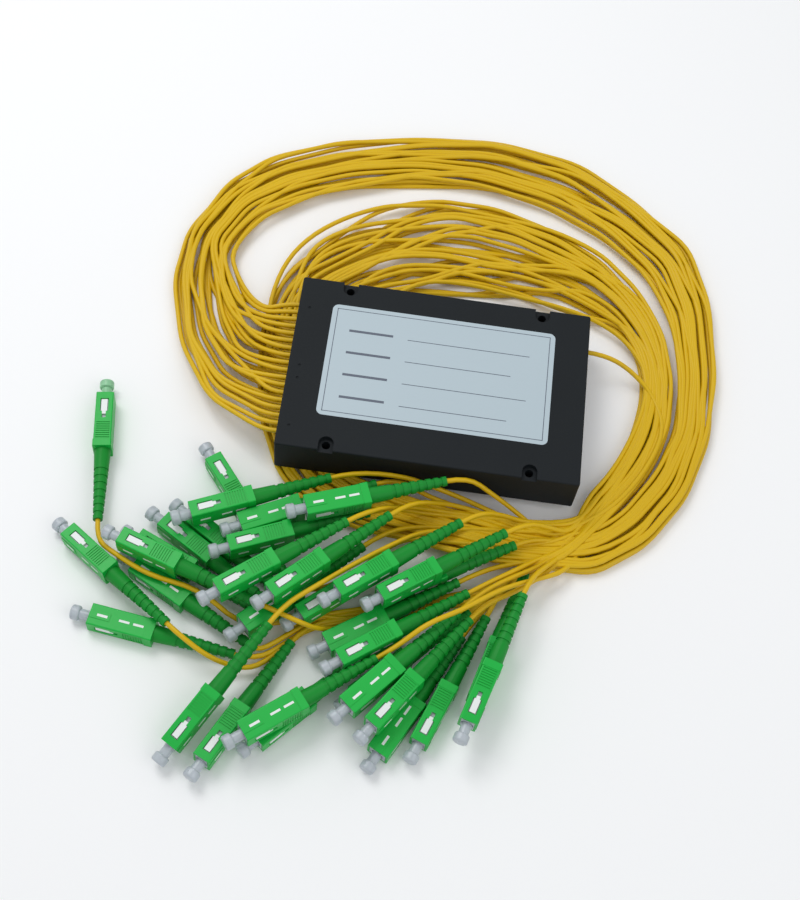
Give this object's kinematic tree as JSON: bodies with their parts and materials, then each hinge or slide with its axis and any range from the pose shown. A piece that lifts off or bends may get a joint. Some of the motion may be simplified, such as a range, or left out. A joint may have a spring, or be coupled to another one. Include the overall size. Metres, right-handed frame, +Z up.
{
  "type": "plc fibre splitter",
  "caption": "Flat black box with slotted mounting holes that splits one optical fibre, with a coil of thin yellow cables ending in green push-pull plugs under dust caps.",
  "frame": {"origin": "middle of the box, halfway up its height", "axes": "+X along the long side of the box, away from the output cables; +Y along the short side, towards the back; +Z up out of the labelled face"},
  "size_m": [0.259, 0.3153, 0.0269],
  "materials": {
    "case": "fine texture, black ABS",
    "label": "satin coated label",
    "cable": "yellow cable sheath",
    "green": "satin green plastic",
    "green_boot": "soft green boot",
    "clear": "milky translucent plastic",
    "clear_green": "translucent green plastic",
    "steel": "satin",
    "ceramic": "polished zirconia",
    "glass": "polished",
    "fibre": "clear coated fibre",
    "crimp": "satin"
  },
  "bodies": {
    "base": {"case_shell": "case", "case_cover": "case", "cover_screws": "steel", "label": "label", "output_comb": "case", "input_gland": "case", "module_tube": "steel", "plc_chip": "glass", "input_fibre_array": "glass", "output_fibre_array": "glass", "fibre_ribbons": "fibre", "input_fibre": "fibre", "output_leads": "cable", "fibre_coil": "cable", "output_tails": "cable", "input_lead": "cable", "input_tail": "cable", "cable_ends": "cable", "output_grips": "green", "plug_frames": "clear", "ferrules": "ceramic", "springs": "steel", "backbones": "green", "crimp_sleeves": "crimp", "boots": "green_boot"},
    "input_grip": {"input_grip": "green"},
    "input_cap": {"input_cap": "clear_green"},
    "output_cap_01": {"output_cap_01": "clear"},
    "output_cap_02": {"output_cap_02": "clear"},
    "output_cap_03": {"output_cap_03": "clear"},
    "output_cap_04": {"output_cap_04": "clear"},
    "output_cap_05": {"output_cap_05": "clear"},
    "output_cap_06": {"output_cap_06": "clear"},
    "output_cap_07": {"output_cap_07": "clear"},
    "output_cap_08": {"output_cap_08": "clear"},
    "output_cap_09": {"output_cap_09": "clear"},
    "output_cap_10": {"output_cap_10": "clear"},
    "output_cap_11": {"output_cap_11": "clear"},
    "output_cap_12": {"output_cap_12": "clear"},
    "output_cap_13": {"output_cap_13": "clear"},
    "output_cap_14": {"output_cap_14": "clear"},
    "output_cap_15": {"output_cap_15": "clear"},
    "output_cap_16": {"output_cap_16": "clear"},
    "output_cap_17": {"output_cap_17": "clear"},
    "output_cap_18": {"output_cap_18": "clear"},
    "output_cap_19": {"output_cap_19": "clear"},
    "output_cap_20": {"output_cap_20": "clear"},
    "output_cap_21": {"output_cap_21": "clear"},
    "output_cap_22": {"output_cap_22": "clear"},
    "output_cap_23": {"output_cap_23": "clear"},
    "output_cap_24": {"output_cap_24": "clear"},
    "output_cap_25": {"output_cap_25": "clear"},
    "output_cap_26": {"output_cap_26": "clear"},
    "output_cap_27": {"output_cap_27": "clear"},
    "output_cap_28": {"output_cap_28": "clear"},
    "output_cap_29": {"output_cap_29": "clear"},
    "output_cap_30": {"output_cap_30": "clear"},
    "output_cap_31": {"output_cap_31": "clear"},
    "output_cap_32": {"output_cap_32": "clear"}
  },
  "joints": [
    {"name": "input_grip_slide", "type": "slide", "parent": "base", "child": "input_grip", "axis": [-0.1563, 0.9871, -0.0349], "range_m": [0, 0.0015]},
    {"name": "input_cap_pull", "type": "slide", "parent": "base", "child": "input_cap", "axis": [-0.1563, 0.9871, -0.0349], "range_m": [0, 0.007]},
    {"name": "output_cap_01_pull", "type": "slide", "parent": "base", "child": "output_cap_01", "axis": [-0.7951, 0.5948, -0.1184], "range_m": [0, 0.007]},
    {"name": "output_cap_02_pull", "type": "slide", "parent": "base", "child": "output_cap_02", "axis": [-0.9917, 0.1288, -0.0017], "range_m": [0, 0.007]},
    {"name": "output_cap_03_pull", "type": "slide", "parent": "base", "child": "output_cap_03", "axis": [-0.9451, 0.3254, -0.0279], "range_m": [0, 0.007]},
    {"name": "output_cap_04_pull", "type": "slide", "parent": "base", "child": "output_cap_04", "axis": [-0.8812, 0.4725, -0.0122], "range_m": [0, 0.007]},
    {"name": "output_cap_05_pull", "type": "slide", "parent": "base", "child": "output_cap_05", "axis": [-0.8595, 0.5103, 0.0279], "range_m": [0, 0.007]},
    {"name": "output_cap_06_pull", "type": "slide", "parent": "base", "child": "output_cap_06", "axis": [-0.6252, 0.7804, 0], "range_m": [0, 0.007]},
    {"name": "output_cap_07_pull", "type": "slide", "parent": "base", "child": "output_cap_07", "axis": [-0.9063, -0.4226, 0], "range_m": [0, 0.007]},
    {"name": "output_cap_08_pull", "type": "slide", "parent": "base", "child": "output_cap_08", "axis": [-0.8828, -0.4694, 0.0175], "range_m": [0, 0.007]},
    {"name": "output_cap_09_pull", "type": "slide", "parent": "base", "child": "output_cap_09", "axis": [-0.9309, -0.3648, 0.0175], "range_m": [0, 0.007]},
    {"name": "output_cap_10_pull", "type": "slide", "parent": "base", "child": "output_cap_10", "axis": [-0.9091, -0.4162, 0.0175], "range_m": [0, 0.007]},
    {"name": "output_cap_11_pull", "type": "slide", "parent": "base", "child": "output_cap_11", "axis": [-0.776, -0.6307, 0], "range_m": [0, 0.007]},
    {"name": "output_cap_12_pull", "type": "slide", "parent": "base", "child": "output_cap_12", "axis": [-0.7169, -0.6972, 0], "range_m": [0, 0.007]},
    {"name": "output_cap_13_pull", "type": "slide", "parent": "base", "child": "output_cap_13", "axis": [-0.8458, 0.5326, 0.0297], "range_m": [0, 0.007]},
    {"name": "output_cap_14_pull", "type": "slide", "parent": "base", "child": "output_cap_14", "axis": [-0.7132, -0.7009, 0.0035], "range_m": [0, 0.007]},
    {"name": "output_cap_15_pull", "type": "slide", "parent": "base", "child": "output_cap_15", "axis": [-0.7557, -0.6546, -0.0209], "range_m": [0, 0.007]},
    {"name": "output_cap_16_pull", "type": "slide", "parent": "base", "child": "output_cap_16", "axis": [-0.7683, -0.6401, 0.0035], "range_m": [0, 0.007]},
    {"name": "output_cap_17_pull", "type": "slide", "parent": "base", "child": "output_cap_17", "axis": [-0.7986, -0.6018, 0], "range_m": [0, 0.007]},
    {"name": "output_cap_18_pull", "type": "slide", "parent": "base", "child": "output_cap_18", "axis": [-0.5023, -0.8393, -0.2079], "range_m": [0, 0.007]},
    {"name": "output_cap_19_pull", "type": "slide", "parent": "base", "child": "output_cap_19", "axis": [-0.4429, -0.8961, 0.0279], "range_m": [0, 0.007]},
    {"name": "output_cap_20_pull", "type": "slide", "parent": "base", "child": "output_cap_20", "axis": [-0.7804, -0.6252, 0], "range_m": [0, 0.007]},
    {"name": "output_cap_21_pull", "type": "slide", "parent": "base", "child": "output_cap_21", "axis": [-0.7965, -0.6046, 0.0035], "range_m": [0, 0.007]},
    {"name": "output_cap_22_pull", "type": "slide", "parent": "base", "child": "output_cap_22", "axis": [-0.6508, -0.7593, 0], "range_m": [0, 0.007]},
    {"name": "output_cap_23_pull", "type": "slide", "parent": "base", "child": "output_cap_23", "axis": [-0.5635, -0.8261, 0], "range_m": [0, 0.007]},
    {"name": "output_cap_24_pull", "type": "slide", "parent": "base", "child": "output_cap_24", "axis": [-0.4679, -0.8838, 0], "range_m": [0, 0.007]},
    {"name": "output_cap_25_pull", "type": "slide", "parent": "base", "child": "output_cap_25", "axis": [-0.3614, -0.9318, -0.0349], "range_m": [0, 0.007]},
    {"name": "output_cap_26_pull", "type": "slide", "parent": "base", "child": "output_cap_26", "axis": [-0.2924, -0.9563, 0], "range_m": [0, 0.007]},
    {"name": "output_cap_27_pull", "type": "slide", "parent": "base", "child": "output_cap_27", "axis": [-0.8259, -0.5613, -0.0523], "range_m": [0, 0.007]},
    {"name": "output_cap_28_pull", "type": "slide", "parent": "base", "child": "output_cap_28", "axis": [-0.7034, -0.7108, 0.0105], "range_m": [0, 0.007]},
    {"name": "output_cap_29_pull", "type": "slide", "parent": "base", "child": "output_cap_29", "axis": [-0.8588, -0.512, -0.0175], "range_m": [0, 0.007]},
    {"name": "output_cap_30_pull", "type": "slide", "parent": "base", "child": "output_cap_30", "axis": [-0.9163, 0.4003, 0.0105], "range_m": [0, 0.007]},
    {"name": "output_cap_31_pull", "type": "slide", "parent": "base", "child": "output_cap_31", "axis": [-0.6717, -0.7407, 0.014], "range_m": [0, 0.007]},
    {"name": "output_cap_32_pull", "type": "slide", "parent": "base", "child": "output_cap_32", "axis": [-0.2588, -0.9659, -0.0035], "range_m": [0, 0.007]}
  ]
}
